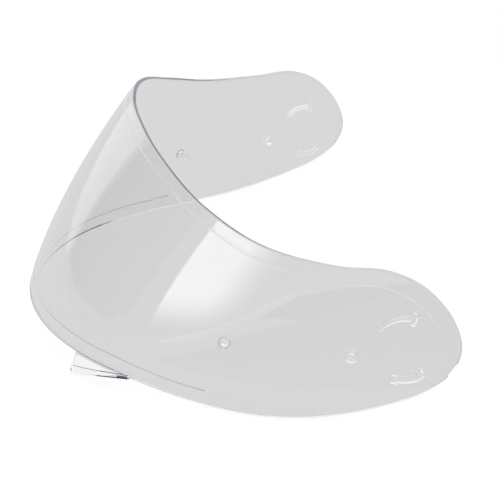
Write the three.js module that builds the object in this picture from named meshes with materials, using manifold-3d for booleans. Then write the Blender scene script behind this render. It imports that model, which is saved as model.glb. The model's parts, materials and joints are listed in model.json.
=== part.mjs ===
// Clear motorcycle helmet visor with its two adjustable anti-fog insert pins.
// Millimetres, +Z up, +X towards the rider's left, -Y towards the front. The visor lies as it does
// on a table: on the lower edges of its two ears and on its lift tab. The origin is on the table,
// below the middle of the visor's box.

import * as THREE from 'three';
import { mergeVertices } from 'three/addons/utils/BufferGeometryUtils.js';
import Module from 'manifold-3d';

const wasm = await Module();
wasm.setup();

// The wall. Its outer face, seen from above at the datum plane, is two tangent arcs on each side:
// a tight one over the front and a wider one along the cheek and ear.
const wall = 2.2;
const frontRadius = 104.5;
const frontHalfAngleDeg = 33;
const sideRadius = 135.7;
const browHeight = 14.2;
const wallRise = 80.4;
const earReach = 184.4;

// How the wall leans back and bows from its lower edge to its brow. The leans are tangents.
const frontLeanShare = 0.727;
const sideLeanShare = 0.09;
const frontBowRadius = 172;
const sideBowRadius = 500;

// The half outline, from the middle of the brow round the ear to the middle of the lower edge.
// Each pair is a share of earReach along the wall and a share of wallRise above the lower edge.
const outlineShares = [
  [0, 1],
  [0.152, 0.987],
  [0.304, 0.928],
  [0.456, 0.818],
  [0.607, 0.715],
  [0.759, 0.674],
  [0.851, 0.671],
  [0.914, 0.614],
  [0.958, 0.522],
  [0.987, 0.418],
  [1, 0.301],
  [0.984, 0.186],
  [0.933, 0.086],
  [0.846, 0.007],
  [0.738, -0.055],
  [0.629, -0.079],
  [0.499, -0.063],
  [0.325, -0.026],
  [0.152, -0.006],
  [0, 0],
];

// The rebate round the edge, where the wall is thinner outside. It fades out at the ears.
const browBand = 4;
const earBand = 6;
const lowerBand = 5.5;
const bandSlope = 0.9;
const bandDepth = 0.4;
const lowerBandReach = 103;
const browBandReach = 160;
const bandFade = 12;

// The facets of the wall. Its columns stand closer together at the ears' tips by tipShare.
const columns = 84;
const innerRows = 7;
const tipShare = 0.6;
const outlineSamples = 2400;

// The lift tab under the lower edge, on the rider's left: a bar for the fingertip that runs from well
// below the edge at its front end up to the edge at its back end, hung from the wall by a thinner web.
const tabFront = 44.6;
const tabBack = 68;
const tabDrop = 8.8;
const tabEndDrop = 0.6;
const tabBarHeight = 2.8;
const tabBarEndHeight = 1.6;
const tabLip = 0.2;
const tabEndLip = 0.2;
const tabRoot = 2.6;
const tabInnerShare = 0.85;
const tabWebShare = 0.4;
const tabStations = 10;
const tabCornerRadius = 1.4;

// The mechanism side of each ear: a centre, set from the ear's tip and lower edge, two arc hooks
// round it, and a guide boss ahead of it and a little lower.
const pivotInset = 19.9;
const pivotRise = 19.7;
const hookRadius = 12.4;
const hookThickness = 1.3;
const hookHeight = 2.6;
const hookLip = 0.8;
const hookLipThickness = 0.9;
const upperHookFromDeg = 80;
const upperHookToDeg = 141;
const lowerHookFromDeg = 256;
const lowerHookToDeg = 300;
const hookSegments = 6;
const hookBlocks = [
  { angleDeg: 77, inner: 10.1, outer: 14.8, innerWidth: 1.4, outerWidth: 2.9 },
  { angleDeg: 254, inner: 11, outer: 13.8, innerWidth: 2.4, outerWidth: 2.6 },
  { angleDeg: 301, inner: 9.4, outer: 12.6, innerWidth: 1.9, outerWidth: 2.3 },
];
const bossAhead = 18.7;
const bossBelow = 3.3;
const bossDiameter = 4.4;
const bossBore = 2.2;
const bossBoreDepth = 1.6;
const bossHeight = 2.6;

// One anti-fog insert pin. The inner body's groove is off its turning axis, so that turning the pin
// in its hole tightens the insert. The cap holds it from outside over a soft seal.
const pinReach = 102;
const pinRise = 26.4;
const pinOffset = 0.5;
const stemDiameter = 3.2;
const stemClearance = 0.2;
const seatGap = 0.25;
const flangeDiameter = 4.4;
const flangeThickness = 0.6;
const neckDiameter = 2.6;
const grooveWidth = 1.2;
const headDiameter = 4.4;
const headThickness = 0.7;
const sealDiameter = 4.7;
const sealThickness = 0.4;
const capDiameter = 4.8;
const capThickness = 0.7;
const capEdge = 0.25;
const slotWidth = 0.7;
const slotDepth = 0.35;
const roundSides = 24;
const overrun = 1;

const radians = THREE.MathUtils.degToRad;
const frontHalfAngle = radians(frontHalfAngleDeg);
const frontArc = frontRadius * frontHalfAngle;
const arcShift = frontRadius - sideRadius;
const pivotReach = earReach - pivotInset;
const bossReach = pivotReach - bossAhead;

// The wall's outer face
// The plan angle at a reach along the wall: 0 at the front centre, a quarter turn square to the side.
function planAngle(reach) {
  if (reach < frontArc) return reach / frontRadius;
  return frontHalfAngle + (reach - frontArc) / sideRadius;
}

// A point of the wall on the +X side, by its reach from the front centre, its height above the datum
// plane and its depth below the outer face. It also gives the outward normal there.
function wallPoint(reach, height, depth = 0) {
  const side = reach < 0 ? -1 : 1;
  const angle = planAngle(Math.abs(reach));
  const outX = Math.sin(angle);
  const outY = -Math.cos(angle);
  const inFront = angle < frontHalfAngle;
  const radius = inFront ? frontRadius : sideRadius;
  const planX = inFront ? frontRadius * outX : arcShift * Math.sin(frontHalfAngle) + sideRadius * outX;
  const planY = inFront
    ? frontRadius * (1 + outY)
    : frontRadius - arcShift * Math.cos(frontHalfAngle) + sideRadius * outY;
  const frontShare = outY * outY;
  const sideShare = outX * outX;
  const lean = frontLeanShare * frontShare + sideLeanShare * sideShare;
  const bend = frontShare / frontBowRadius + sideShare / sideBowRadius;
  const inset = lean * height + (bend * height * height) / 2;
  const slope = lean + bend * height;
  const leanTurn = 2 * outX * outY * (frontLeanShare - sideLeanShare);
  const bendTurn = 2 * outX * outY * (1 / frontBowRadius - 1 / sideBowRadius);
  const insetGrowth = (leanTurn * height + (bendTurn * height * height) / 2) / radius;
  const squeeze = 1 - inset / radius;
  const normal = new THREE.Vector3(outX, outY, slope).multiplyScalar(squeeze);
  normal.x -= outY * insetGrowth;
  normal.y += outX * insetGrowth;
  normal.normalize();
  const point = new THREE.Vector3(planX - outX * inset, planY - outY * inset, height);
  point.addScaledVector(normal, -depth);
  point.x *= side;
  normal.x *= side;
  return { point, normal };
}

// The placement of a feature on the +X side: x along the wall towards the ear, y up it, z outward.
function wallFrame(reach, height) {
  const { point, normal } = wallPoint(reach, height);
  const angle = planAngle(reach);
  const along = new THREE.Vector3(Math.cos(angle), Math.sin(angle), 0);
  const up = new THREE.Vector3().crossVectors(normal, along).normalize();
  const forward = new THREE.Vector3().crossVectors(up, normal).normalize();
  return new THREE.Matrix4().makeBasis(forward, up, normal).setPosition(point);
}

// The outline
const outlinePoint = ([reachShare, riseShare], side = 1) =>
  new THREE.Vector3(side * reachShare * earReach, browHeight + (riseShare - 1) * wallRise, 0);
const halfOutline = outlineShares.map((pair) => outlinePoint(pair));
const otherHalf = outlineShares.slice(1, -1).reverse().map((pair) => outlinePoint(pair, -1));
const outline = new THREE.CatmullRomCurve3([...halfOutline, ...otherHalf], true, 'centripetal');
outline.arcLengthDivisions = outlineSamples;
const outlineRing = outline.getSpacedPoints(outlineSamples);
const tipIndex = outlineRing.reduce((best, p, i) => (p.x > outlineRing[best].x ? i : best), 0);
const tipTurn = tipIndex / outlineSamples;

// The brow and lower edge points of a column, by its share from the middle (0) to an ear's tip (1).
function columnEnds(share) {
  const browTurn = (share * tipTurn + 1) % 1;
  const lowerTurn = 0.5 - share * (0.5 - tipTurn);
  return { brow: outline.getPointAt(browTurn), lower: outline.getPointAt(lowerTurn) };
}

function lowerEdgeHeight(reach) {
  const lowerHalf = outlineRing.slice(tipIndex, outlineSamples / 2 + 1);
  const next = lowerHalf.findIndex((p) => p.x <= reach);
  const after = lowerHalf[next];
  const before = lowerHalf[next - 1];
  return THREE.MathUtils.mapLinear(reach, before.x, after.x, before.y, after.y);
}

// The levels of the ear's features, measured from the datum plane as the outline is
const pivotLevel = lowerEdgeHeight(pivotReach) + pivotRise;
const bossLevel = pivotLevel - bossBelow;
const pinLevel = lowerEdgeHeight(pinReach) + pinRise;

// The shell's wall as one closed body
// How much of a rebate is left at a reach: all of it up to its end, and none past its fade.
function rebate(reach, end, fade) {
  return bandDepth * (1 - THREE.MathUtils.smoothstep(Math.abs(reach), end, end + fade));
}

function wallColumn(share) {
  const { brow, lower } = columnEnds(share);
  const height = brow.distanceTo(lower);
  const earShare = THREE.MathUtils.smoothstep(Math.abs(brow.x), frontArc, pivotReach);
  const topBand = Math.min(THREE.MathUtils.lerp(browBand, earBand, earShare), height / 4);
  const bottomBand = Math.min(lowerBand, height / 4);
  const slope = Math.min(bandSlope, height / 8);
  const from = topBand + slope;
  const to = height - bottomBand - slope;
  const distances = [0, topBand];
  for (let row = 0; row <= innerRows; row++) distances.push(from + ((to - from) * row) / innerRows);
  distances.push(height - bottomBand, height);
  return distances.map((distance, row) => {
    const place = brow.clone().lerp(lower, distance / height);
    const atBrow = row < 2;
    const atLower = row > distances.length - 3;
    let depth = 0;
    if (atBrow) depth = rebate(place.x, browBandReach, bandFade);
    if (atLower) depth = rebate(place.x, lowerBandReach, bandSlope);
    return { outer: wallPoint(place.x, place.y, depth).point, inner: wallPoint(place.x, place.y, wall).point };
  });
}

function wallGeometry() {
  const positions = [];
  const triangles = [];
  const add = (point) => positions.push(...point.toArray()) / 3 - 1;
  const quad = (a, b, c, d) => triangles.push(a, b, c, a, c, d);
  const grid = [];
  for (let column = 1; column < columns; column++) {
    const even = (2 * column) / columns - 1;
    const share = THREE.MathUtils.lerp(even, Math.sin((even * Math.PI) / 2), tipShare);
    grid.push(wallColumn(share).map(({ outer, inner }) => [add(outer), add(inner)]));
  }
  const last = grid[0].length - 1;
  for (let i = 0; i + 1 < grid.length; i++) {
    const here = grid[i];
    const next = grid[i + 1];
    for (let row = 0; row < last; row++) {
      quad(here[row][0], here[row + 1][0], next[row + 1][0], next[row][0]);
      quad(here[row][1], next[row][1], next[row + 1][1], here[row + 1][1]);
    }
    quad(here[0][0], next[0][0], next[0][1], here[0][1]);
    quad(here[last][0], here[last][1], next[last][1], next[last][0]);
  }
  for (const side of [-1, 1]) {
    const { brow: tip } = columnEnds(side);
    const outerTip = add(wallPoint(tip.x, tip.y).point);
    const innerTip = add(wallPoint(tip.x, tip.y, wall).point);
    const end = side < 0 ? grid[0] : grid[grid.length - 1];
    const fan = (a, b, c) => (side < 0 ? triangles.push(a, c, b) : triangles.push(a, b, c));
    for (let row = 0; row < last; row++) {
      fan(end[row][0], end[row + 1][0], outerTip);
      fan(end[row][1], innerTip, end[row + 1][1]);
    }
    fan(end[0][0], outerTip, innerTip);
    fan(end[0][0], innerTip, end[0][1]);
    fan(end[last][0], end[last][1], innerTip);
    fan(end[last][0], innerTip, outerTip);
  }
  const geometry = new THREE.BufferGeometry();
  geometry.setAttribute('position', new THREE.Float32BufferAttribute(positions, 3));
  geometry.setIndex(triangles);
  return geometry;
}

// Solids and cuts
// A geometry with its positions alone, and its shared corners merged.
function bare(geometry) {
  const copy = geometry.clone();
  copy.deleteAttribute('normal');
  copy.deleteAttribute('uv');
  return mergeVertices(copy);
}

function solidOf(geometry) {
  const merged = bare(geometry);
  const vertProperties = new Float32Array(merged.attributes.position.array);
  const triVerts = new Uint32Array(merged.index.array);
  return new wasm.Manifold(new wasm.Mesh({ numProp: 3, vertProperties, triVerts }));
}

function geometryOf(solid) {
  const { vertProperties, triVerts } = solid.getMesh();
  const geometry = new THREE.BufferGeometry();
  geometry.setAttribute('position', new THREE.Float32BufferAttribute(vertProperties, 3));
  geometry.setIndex(new THREE.Uint32BufferAttribute(triVerts, 1));
  geometry.computeVertexNormals();
  return geometry;
}

function mirrored(geometry) {
  const copy = bare(geometry).applyMatrix4(new THREE.Matrix4().makeScale(-1, 1, 1));
  const index = Array.from(copy.index.array);
  for (let i = 0; i < index.length; i += 3) [index[i], index[i + 1]] = [index[i + 1], index[i]];
  copy.setIndex(index);
  copy.computeVertexNormals();
  return copy;
}

const join = (solids) => solids.reduce((all, solid) => all.add(solid));

// A disc or bar across the wall, in a feature's own placement: from one height to another along z.
function disc(diameter, from, to, shift = 0) {
  const geometry = new THREE.CylinderGeometry(diameter / 2, diameter / 2, to - from, roundSides);
  return geometry.rotateX(Math.PI / 2).translate(shift, 0, (from + to) / 2);
}

function prism(shape, from, to) {
  const settings = { depth: to - from, bevelEnabled: false, curveSegments: hookSegments };
  return new THREE.ExtrudeGeometry(shape, settings).translate(0, 0, from);
}

// The two hooks of an ear, each an arc web with a lip towards the centre, and their end blocks
function arcBand(inner, outer, fromDeg, toDeg) {
  const shape = new THREE.Shape();
  shape.absarc(0, 0, outer, radians(fromDeg), radians(toDeg), false);
  shape.absarc(0, 0, inner, radians(toDeg), radians(fromDeg), true);
  shape.closePath();
  return shape;
}

function hookBlock({ angleDeg, inner, outer, innerWidth, outerWidth }) {
  const shape = new THREE.Shape([
    new THREE.Vector2(inner, -innerWidth / 2),
    new THREE.Vector2(outer, -outerWidth / 2),
    new THREE.Vector2(outer, outerWidth / 2),
    new THREE.Vector2(inner, innerWidth / 2),
  ]);
  return prism(shape, -wall - hookHeight, -wall / 2).rotateZ(radians(angleDeg));
}

function hookSolids() {
  const inner = hookRadius - hookThickness / 2;
  const outer = hookRadius + hookThickness / 2;
  const top = -wall - hookHeight;
  const arcs = [
    [upperHookFromDeg, upperHookToDeg],
    [lowerHookFromDeg, lowerHookToDeg],
  ];
  const parts = arcs.flatMap(([fromDeg, toDeg]) => [
    prism(arcBand(inner, outer, fromDeg, toDeg), top, -wall / 2),
    prism(arcBand(inner - hookLip, outer, fromDeg, toDeg), top, top + hookLipThickness),
  ]);
  parts.push(...hookBlocks.map(hookBlock));
  const frame = wallFrame(pivotReach, pivotLevel);
  return parts.map((part) => part.applyMatrix4(frame));
}

function bossSolid() {
  const body = solidOf(disc(bossDiameter, -wall - bossHeight, -wall / 2));
  const bore = solidOf(disc(bossBore, -wall - bossHeight - overrun, -wall - bossHeight + bossBoreDepth));
  return geometryOf(body.subtract(bore)).applyMatrix4(wallFrame(bossReach, bossLevel));
}

// The lift tab, lofted along the lower edge. Each section runs from inside the wall down the web's
// inner side, across the bottom of the bar, up its outer face, back over it and up the web again.
function tabSection(share) {
  const reach = THREE.MathUtils.lerp(tabFront, tabBack, share);
  const edge = lowerEdgeHeight(reach);
  const fromEnd = share * (tabBack - tabFront);
  const corner = Math.max(tabCornerRadius - fromEnd, 0);
  const rounding = tabCornerRadius - Math.sqrt(tabCornerRadius ** 2 - corner ** 2);
  const fullDrop = THREE.MathUtils.lerp(tabDrop, tabEndDrop, share);
  const barTop = fullDrop - THREE.MathUtils.lerp(tabBarHeight, tabBarEndHeight, share);
  const lip = THREE.MathUtils.lerp(tabLip, tabEndLip, share);
  const at = (depth, below) => wallPoint(reach, edge - below, depth).point;
  const inner = wall * tabInnerShare;
  const webFace = wall * tabWebShare;
  return [
    at(inner, -tabRoot),
    at(inner, fullDrop - rounding),
    at(-lip, fullDrop - rounding),
    at(-lip, barTop),
    at(webFace, barTop),
    at(webFace, -tabRoot),
  ];
}

function tabGeometry() {
  const positions = [];
  const triangles = [];
  const shares = Array.from({ length: tabStations + 1 }, (_, i) => (i / tabStations) ** (3 / 2));
  const sections = shares.map(tabSection);
  const count = sections[0].length;
  for (const section of sections) section.forEach((point) => positions.push(...point.toArray()));
  for (let i = 0; i < tabStations; i++) {
    for (let k = 0; k < count; k++) {
      const next = (k + 1) % count;
      const a = i * count + k;
      const b = i * count + next;
      triangles.push(a, b + count, b, a, a + count, b + count);
    }
  }
  for (const station of [0, tabStations]) {
    const start = station * count;
    for (let k = 1; k + 1 < count; k++) {
      if (station === 0) triangles.push(start, start + k, start + k + 1);
      else triangles.push(start, start + k + 1, start + k);
    }
  }
  const geometry = new THREE.BufferGeometry();
  geometry.setAttribute('position', new THREE.Float32BufferAttribute(positions, 3));
  geometry.setIndex(triangles);
  return geometry;
}

// The shell: the wall with its ear fittings and tab joined on and the pin holes cut through
function shellGeometry() {
  const hole = disc(stemDiameter + 2 * stemClearance, -wall - overrun, overrun);
  hole.applyMatrix4(wallFrame(pinReach, pinLevel));
  const fittings = [...hookSolids(), bossSolid()];
  const both = fittings.flatMap((part) => [part, mirrored(part)]);
  const holes = join([hole, mirrored(hole)].map(solidOf));
  const shell = join([wallGeometry(), tabGeometry(), ...both].map(solidOf));
  return geometryOf(shell.subtract(holes));
}

// The insert pin's pieces, in the pin's placement: z is outward and 0 is the wall's outer face
function pinBodyGeometry() {
  const flangeFace = -wall - seatGap;
  const grooveFrom = flangeFace - flangeThickness;
  const grooveTo = grooveFrom - grooveWidth;
  const stemEnd = seatGap + sealThickness;
  const parts = [
    disc(stemDiameter, grooveFrom, stemEnd),
    disc(flangeDiameter, grooveFrom, flangeFace),
    disc(neckDiameter, grooveTo - headThickness / 2, grooveFrom + flangeThickness / 2, pinOffset),
    disc(headDiameter, grooveTo - headThickness, grooveTo, pinOffset),
  ];
  return geometryOf(join(parts.map(solidOf)));
}

function pinSealGeometry() {
  const ring = solidOf(disc(sealDiameter, seatGap, seatGap + sealThickness));
  const bore = solidOf(disc(stemDiameter + 2 * stemClearance, 0, seatGap + sealThickness + overrun));
  return geometryOf(ring.subtract(bore));
}

function pinCapGeometry() {
  const from = seatGap + sealThickness + seatGap;
  const to = from + capThickness;
  const radius = capDiameter / 2;
  const profile = [
    new THREE.Vector2(0, from),
    new THREE.Vector2(radius, from),
    new THREE.Vector2(radius, to - capEdge),
    new THREE.Vector2(radius - capEdge, to),
    new THREE.Vector2(0, to),
  ];
  const cap = solidOf(new THREE.LatheGeometry(profile, roundSides).rotateX(Math.PI / 2));
  const slot = new THREE.BoxGeometry(capDiameter + overrun, slotWidth, 2 * slotDepth).translate(0, 0, to);
  return geometryOf(cap.subtract(solidOf(slot)));
}

// Materials
const clear = { color: 0xe9edf0, roughness: 0.06, metalness: 0, transparent: true };
const shellMaterial = () => new THREE.MeshStandardMaterial({ ...clear, opacity: 0.3 });
const pinMaterial = () => new THREE.MeshStandardMaterial({ ...clear, opacity: 0.5 });
const sealMaterial = () =>
  new THREE.MeshStandardMaterial({ color: 0xdfe3e4, roughness: 0.6, metalness: 0, transparent: true, opacity: 0.6 });

// Assembly
function named(name, geometry, material) {
  const mesh = new THREE.Mesh(geometry, material);
  mesh.name = name;
  return mesh;
}

const visor = new THREE.Group();
visor.add(named('visor_shell', shellGeometry(), shellMaterial()));
const pinFrame = wallFrame(pinReach, pinLevel);
const pinPieces = [
  ['pin_body', pinBodyGeometry(), pinMaterial],
  ['pin_cap', pinCapGeometry(), pinMaterial],
  ['pin_seal', pinSealGeometry(), sealMaterial],
];
for (const [name, geometry, material] of pinPieces) {
  const placed = geometry.clone().applyMatrix4(pinFrame);
  visor.add(named(`left_${name}`, placed, material()));
  visor.add(named(`right_${name}`, mirrored(placed), material()));
}

// The rest pose: the visor tips about X until the lowest points of the tab and of the ears are level
const tabCorners = tabSection(tabCornerRadius / (tabBack - tabFront));
const earEdge = outlineRing
  .filter((p) => p.x > tabBack && p.y < pivotLevel)
  .flatMap((p) => [wallPoint(p.x, p.y).point, wallPoint(p.x, p.y, wall).point]);
const tiltFrom = (corner) => Math.min(...earEdge.map((p) => Math.atan2(p.z - corner.z, p.y - corner.y)));
visor.rotation.x = -Math.max(...tabCorners.map(tiltFrom));

const part = new THREE.Group();
part.add(visor);
const box = new THREE.Box3().setFromObject(part, true);
const middle = box.getCenter(new THREE.Vector3());
visor.position.set(-middle.x, -middle.y, -box.min.z);

export default part;
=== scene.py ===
# Clear motorcycle helmet visor: its moulded shell and its two adjustable anti-fog insert pins.
# Metres, +Z up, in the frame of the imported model.
import json
import math

import bmesh
import bpy
import numpy as np
from mathutils import Matrix, Vector


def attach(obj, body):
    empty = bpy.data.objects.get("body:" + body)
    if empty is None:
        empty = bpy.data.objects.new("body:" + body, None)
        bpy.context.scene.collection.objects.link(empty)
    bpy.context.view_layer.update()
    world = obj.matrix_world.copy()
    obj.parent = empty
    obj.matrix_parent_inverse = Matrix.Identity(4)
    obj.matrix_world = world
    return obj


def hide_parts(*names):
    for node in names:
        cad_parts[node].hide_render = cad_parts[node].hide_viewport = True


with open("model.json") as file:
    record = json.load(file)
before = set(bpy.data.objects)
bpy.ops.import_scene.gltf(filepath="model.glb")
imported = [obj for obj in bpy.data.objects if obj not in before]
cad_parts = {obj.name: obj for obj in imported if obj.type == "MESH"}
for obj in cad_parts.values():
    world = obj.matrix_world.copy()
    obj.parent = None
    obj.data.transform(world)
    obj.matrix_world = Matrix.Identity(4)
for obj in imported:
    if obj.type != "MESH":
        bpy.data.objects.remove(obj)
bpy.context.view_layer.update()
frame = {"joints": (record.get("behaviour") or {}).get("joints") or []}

# The wall: two tangent arcs in plan on each side, leaning back and bowing towards the brow
WALL = 0.0022
FRONT_RADIUS = 0.1045
FRONT_HALF_ANGLE = math.radians(33)
SIDE_RADIUS = 0.1357
BROW_HEIGHT = 0.0142
WALL_RISE = 0.0804
EAR_REACH = 0.1844
FRONT_LEAN_SHARE = 0.727
SIDE_LEAN_SHARE = 0.09
FRONT_BOW_RADIUS = 0.172
SIDE_BOW_RADIUS = 0.5

# Half the outline, as shares of the ear's reach and of the wall's rise above the lower edge
OUTLINE_SHARES = [
    (0, 1), (0.152, 0.987), (0.304, 0.928), (0.456, 0.818), (0.607, 0.715), (0.759, 0.674),
    (0.851, 0.671), (0.914, 0.614), (0.958, 0.522), (0.987, 0.418), (1, 0.301), (0.984, 0.186),
    (0.933, 0.086), (0.846, 0.007), (0.738, -0.055), (0.629, -0.079), (0.499, -0.063),
    (0.325, -0.026), (0.152, -0.006), (0, 0),
]
CURVE_STEPS = 160

# The rim: a rounded edge, and a rebate behind it whose step fades out towards the ears. Guard rings
# beside the rounding and the step keep the flat faces' shading flat.
EDGE_RADIUS = 0.00045
EDGE_STEPS = 4
BROW_BAND = 0.004
EAR_BAND = 0.006
LOWER_BAND = 0.0055
LOWER_BAND_BLEND = (0.11, 0.16)
BAND_PARTS = 3
BROW_STEP_WIDTH = 0.0004
BROW_STEP_DEPTH = 0.0002
BROW_STEP_FADE = (0.176, 0.184)
LOWER_STEP_WIDTH = 0.0005
LOWER_STEP_DEPTH = 0.0004
LOWER_STEP_FADE = (0.09, 0.1)
SLOPE_ROWS = 5
FLAT_GUARD = 0.00015
RIM_WIDTH = 0.011
FIELD_SHARES = (0.03, 1 / 3, 2 / 3, 1)

# The shell's material slots: its body, its edge in painted shade from deep to faint, the rebate's
# step at the brow (a painted highlight) and at the lower edge (painted shade), the lift tab's edge (painted
# shade), and the ears' fittings
BODY_SLOT = 0
FIRST_EDGE_SHADE_SLOT = 1
EDGE_SHADE_LEVELS = 5
FAINTEST_EDGE_SHADE_SLOT = FIRST_EDGE_SHADE_SLOT + EDGE_SHADE_LEVELS - 1
BROW_STEP_HIGHLIGHT_SLOT = FIRST_EDGE_SHADE_SLOT + EDGE_SHADE_LEVELS
LOWER_STEP_SHADE_SLOT = BROW_STEP_HIGHLIGHT_SLOT + 1
TAB_SHADE_SLOT = LOWER_STEP_SHADE_SLOT + 1
FITTING_SLOT = TAB_SHADE_SLOT + 1
LEAST_STEP_SHARE = 0.3

# The edge's rows of faces that carry deep painted shade at the front, counted from the outer face,
# and the reaches between which that painted shade fades to faint
BROW_EDGE_SHADE_ROWS = slice(EDGE_STEPS - 1, EDGE_STEPS + 3)
LOWER_EDGE_SHADE_ROWS = slice(0, EDGE_STEPS + 4)
BROW_EDGE_SHADE_FADE = (0.09, 0.145)
LOWER_EDGE_SHADE_FADE = (0.058, 0.074)

# The fineness of the shell's mesh: columns from the middle to each ear's tip, and rows between
COLUMNS = 250
ROWS = 30

# The lift tab: a bar for the fingertip on a thin web, below the lower edge on the rider's left. Its
# stations stand closer at the front, and painted shade covers more of it from two shares of its length on.
TAB_FRONT = 0.0446
TAB_BACK = 0.068
TAB_DROP = 0.0088
TAB_END_DROP = 0.0006
TAB_BAR_HEIGHT = 0.0028
TAB_BAR_END_HEIGHT = 0.0016
TAB_LIP = 0.0002
TAB_ROOT = 0.0026
TAB_INNER_SHARE = 0.85
TAB_WEB_SHARE = 0.4
TAB_CORNER_RADIUS = 0.0014
TAB_ROUNDING = 0.0004
TAB_BAR_ROUNDINGS = 3
TAB_STATIONS = 40
TAB_STATION_POWER = 1.5
# Painted shade on the tab: the shares of its length from which its lower corners and its outer face are
# painted dark
TAB_SHADED_CORNERS_FROM = 0.45
TAB_SHADED_FACE_FROM = 0.8

# The mechanism side of each ear: two arc hooks with end blocks, and a guide boss
PIVOT_INSET = 0.0199
PIVOT_RISE = 0.0197
HOOK_RADIUS = 0.0124
HOOK_THICKNESS = 0.0013
HOOK_HEIGHT = 0.0026
HOOK_LIP = 0.0008
HOOK_LIP_THICKNESS = 0.0009
HOOK_SPANS_DEG = [(80, 141), (256, 300)]
HOOK_BLOCKS = [
    {"angle_deg": 77, "inner": 0.0101, "outer": 0.0148, "inner_width": 0.0014, "outer_width": 0.0029},
    {"angle_deg": 254, "inner": 0.011, "outer": 0.0138, "inner_width": 0.0024, "outer_width": 0.0026},
    {"angle_deg": 301, "inner": 0.0094, "outer": 0.0126, "inner_width": 0.0019, "outer_width": 0.0023},
]
HOOK_STATIONS = 32
FOOT_RADIUS = 0.0003
CORNER_RADIUS = 0.0002
CORNER_STEPS = 3
BOSS_AHEAD = 0.0187
BOSS_BELOW = 0.0033
BOSS_DIAMETER = 0.0044
BOSS_BORE = 0.0022
BOSS_BORE_DEPTH = 0.0016
BOSS_HEIGHT = 0.0026

# One insert pin: the groove for the insert is off its turning axis, and its cap holds it over a seal
PIN_REACH = 0.102
PIN_RISE = 0.0264
PIN_OFFSET = 0.0005
STEM_DIAMETER = 0.0032
STEM_CLEARANCE = 0.0002
SEAT_GAP = 0.00025
FLANGE_DIAMETER = 0.0044
FLANGE_THICKNESS = 0.0006
NECK_DIAMETER = 0.0026
GROOVE_WIDTH = 0.0012
HEAD_DIAMETER = 0.0044
HEAD_THICKNESS = 0.0007
SEAL_DIAMETER = 0.0047
SEAL_THICKNESS = 0.0004
CAP_DIAMETER = 0.0048
CAP_THICKNESS = 0.0007
CAP_EDGE = 0.00025
PIN_EDGE = 0.00012
SLOT_WIDTH = 0.0007
SLOT_DEPTH = 0.00035
OVERRUN = 0.001

# The fineness and finish of the meshes
ROUND_SIDES = 64
BEVEL_STEPS = 2
BEVEL_PROFILE = 0.5
BEVEL_SHARP_DEG = 40
SHADE_SHARP_DEG = 38

# The camera, at the photograph's viewing angle
VIEW_TARGET = (0.01094, 0.015, 0.02364)
VIEW_AZIMUTH_DEG = 84.112
VIEW_ELEVATION_DEG = 24.754
VIEW_ROLL_DEG = -3.195
VIEW_DISTANCE = 0.65676
VIEW_LENS_MM = 113.47
VIEW_SENSOR_MM = 36
VIEW_CLIP = (0.01, 20)

FRONT_ARC = FRONT_RADIUS * FRONT_HALF_ANGLE
ARC_SHIFT = FRONT_RADIUS - SIDE_RADIUS
PIVOT_REACH = EAR_REACH - PIVOT_INSET
BOSS_REACH = PIVOT_REACH - BOSS_AHEAD


# Small sums
def smoothstep(value, low, high):
    share = np.clip((np.asarray(value, float) - low) / (high - low), 0, 1)
    return share * share * (3 - 2 * share)


def lerp(start, end, share):
    return start + (end - start) * share


def arc_points(centre, radius, from_deg, to_deg, steps):
    """Points of an arc in a plane, its two ends included."""
    angles = np.radians(np.linspace(from_deg, to_deg, steps + 1))
    return [(centre[0] + radius * math.cos(a), centre[1] + radius * math.sin(a)) for a in angles]


# The wall's shape
def plan_angle(along):
    """The outward direction's turn from straight ahead, at a distance along the wall."""
    beyond_front = FRONT_HALF_ANGLE + (along - FRONT_ARC) / SIDE_RADIUS
    return np.where(along < FRONT_ARC, along / FRONT_RADIUS, beyond_front)


def datum_wall(reach, level, depth=0.0):
    """Points at a reach along the wall, a level above the datum plane and a depth below the outer
    face, and the outward normals there, before the visor is laid down on the table."""
    reach, level, depth = np.broadcast_arrays(*(np.asarray(v, float) for v in (reach, level, depth)))
    side = np.where(reach < 0, -1.0, 1.0)
    along = np.abs(reach)
    in_front = along < FRONT_ARC
    angle = plan_angle(along)
    out_x, out_y = np.sin(angle), -np.cos(angle)
    radius = np.where(in_front, FRONT_RADIUS, SIDE_RADIUS)
    shift_x = np.where(in_front, 0, ARC_SHIFT * math.sin(FRONT_HALF_ANGLE))
    shift_y = np.where(in_front, 0, ARC_SHIFT * math.cos(FRONT_HALF_ANGLE))
    plan_x = shift_x + radius * out_x
    plan_y = FRONT_RADIUS - shift_y + radius * out_y
    front_share, side_share = out_y**2, out_x**2
    lean = FRONT_LEAN_SHARE * front_share + SIDE_LEAN_SHARE * side_share
    bend = front_share / FRONT_BOW_RADIUS + side_share / SIDE_BOW_RADIUS
    inset = lean * level + bend * level**2 / 2
    lean_turn = 2 * out_x * out_y * (FRONT_LEAN_SHARE - SIDE_LEAN_SHARE)
    bend_turn = 2 * out_x * out_y * (1 / FRONT_BOW_RADIUS - 1 / SIDE_BOW_RADIUS)
    growth = (lean_turn * level + bend_turn * level**2 / 2) / radius
    squeeze = 1 - inset / radius
    slope = lean + bend * level
    normal_x = squeeze * out_x - growth * out_y
    normal_y = squeeze * out_y + growth * out_x
    normal = np.stack([normal_x, normal_y, squeeze * slope], -1)
    normal /= np.linalg.norm(normal, axis=-1, keepdims=True)
    point = np.stack([plan_x - out_x * inset, plan_y - out_y * inset, level], -1)
    point = point - normal * depth[..., None]
    point[..., 0] *= side
    normal[..., 0] *= side
    return point, normal


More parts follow.
